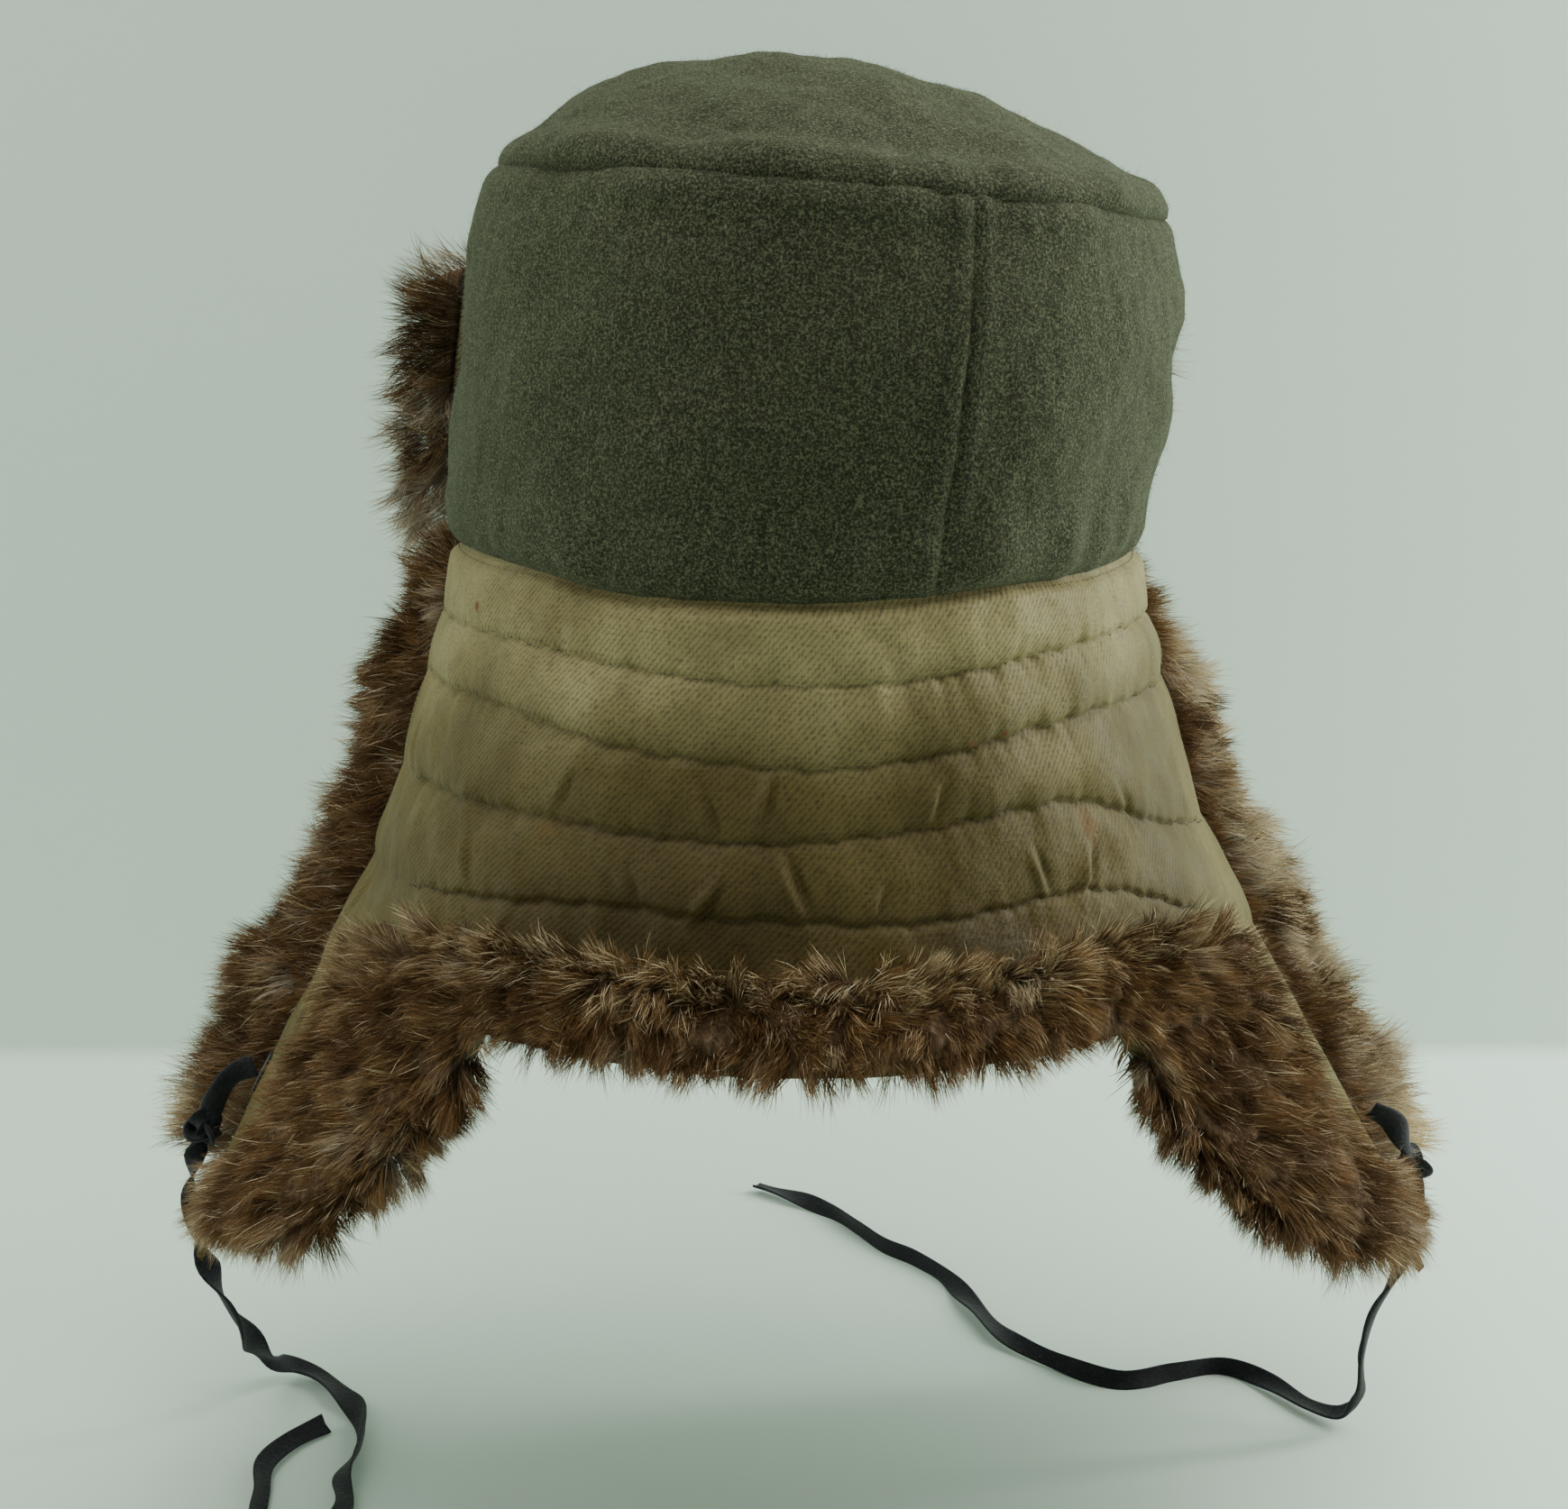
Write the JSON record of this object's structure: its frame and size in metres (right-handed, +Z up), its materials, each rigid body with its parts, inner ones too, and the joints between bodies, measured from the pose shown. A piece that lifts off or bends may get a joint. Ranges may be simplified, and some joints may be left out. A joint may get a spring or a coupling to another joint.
{
  "type": "trapper hat",
  "caption": "Winter fur cap: felted wool crown, quilted cotton ear and neck flaps edged with fur, turned-up fur front flap, black tape ties.",
  "frame": {"origin": "centre of the head opening, level with the crown's hem", "axes": "+Z up along the crown, -Y towards the front of the cap, +X towards the wearer's left"},
  "size_m": [0.3907, 0.3155, 0.403],
  "materials": {
    "wool": "felted, heathered grey-green wool",
    "wadding": "loose cotton batting",
    "lining": "plain-woven cotton lining",
    "sweatband": "worn split leather",
    "cotton": "aged cotton cloth with a slight sheen, quilted",
    "fur": "brown rabbit fur with pale guard hairs",
    "tape": "black cotton tape"
  },
  "bodies": {
    "crown": {"crown_top": "wool", "crown_side_left": "wool", "crown_side_right": "wool", "top_wadding": "wadding", "side_wadding_back": "wadding", "side_wadding_left": "wadding", "side_wadding_front": "wadding", "side_wadding_right": "wadding", "lining_top": "lining", "lining_side": "lining", "sweatband": "sweatband", "hem_band": "cotton", "hem_band_wadding": "wadding", "front_binding": "cotton"},
    "neck_flap": {"neck_cover": "cotton", "neck_wadding": "wadding", "neck_pelt": "fur", "neck_fur_trim": "fur"},
    "left_ear_flap": {"left_ear_cover": "cotton", "left_ear_wadding": "wadding", "left_ear_pelt": "fur", "left_ear_fur_trim": "fur", "left_tie_tab": "tape", "left_tie": "tape", "left_tie_knot": "tape"},
    "right_ear_flap": {"right_ear_cover": "cotton", "right_ear_wadding": "wadding", "right_ear_pelt": "fur", "right_ear_fur_trim": "fur", "right_tie_tab": "tape", "right_tie": "tape", "right_tie_knot": "tape"},
    "front_flap": {"front_cover": "cotton", "front_wadding": "wadding", "front_pelt": "fur"}
  },
  "joints": [
    {"name": "neck_fold", "type": "hinge", "parent": "crown", "child": "neck_flap", "pos_m": [0, 0.1143, -0.019], "axis": [1, 0, 0], "range_deg": [0, 140]},
    {"name": "left_ear_fold", "type": "hinge", "parent": "crown", "child": "left_ear_flap", "pos_m": [0.09287, 0.04387, -0.019], "axis": [0.342, -0.9397, 0], "range_deg": [-15, 140]},
    {"name": "right_ear_fold", "type": "hinge", "parent": "crown", "child": "right_ear_flap", "pos_m": [-0.09287, 0.04387, -0.019], "axis": [0.342, 0.9397, 0], "range_deg": [-15, 140]},
    {"name": "front_fold", "type": "hinge", "parent": "crown", "child": "front_flap", "pos_m": [0.01475, -0.1201, 0], "axis": [0.9925, 0.1219, 0], "range_deg": [0, 120]}
  ]
}
